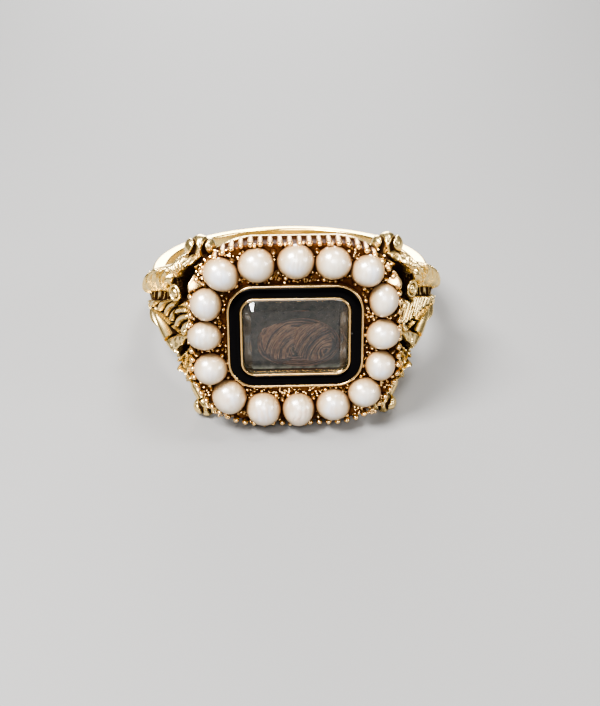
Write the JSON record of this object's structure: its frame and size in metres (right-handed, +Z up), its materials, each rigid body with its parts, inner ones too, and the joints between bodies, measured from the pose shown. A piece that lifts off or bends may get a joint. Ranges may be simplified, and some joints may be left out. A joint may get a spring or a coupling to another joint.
{
  "type": "mourning ring",
  "caption": "Gold finger ring with cast leaf shoulders and a square head: half pearls round a black enamel border and a bevelled crystal over curled hair.",
  "frame": {"origin": "middle of the ring's footprint, on the surface it lies on", "axes": "+Z up from the surface; the head faces -Y; +X to the right as seen from in front of the head"},
  "size_m": [0.0196, 0.022, 0.0121],
  "materials": {
    "gold": "polished pale yellow gold, darker in the recesses",
    "pearl": "satin cream pearl",
    "enamel": "glossy black enamel",
    "crystal": "clear polished rock crystal",
    "hair": "brown hair laid on a grey backing"
  },
  "bodies": {
    "root": {"gold_ring": "gold", "pearl_1": "pearl", "pearl_2": "pearl", "pearl_3": "pearl", "pearl_4": "pearl", "pearl_5": "pearl", "pearl_6": "pearl", "pearl_7": "pearl", "pearl_8": "pearl", "pearl_9": "pearl", "pearl_10": "pearl", "pearl_11": "pearl", "pearl_12": "pearl", "pearl_13": "pearl", "pearl_14": "pearl", "pearl_15": "pearl", "pearl_16": "pearl", "enamel_border": "enamel", "crystal": "crystal", "hair_panel": "hair"}
  },
  "joints": []
}
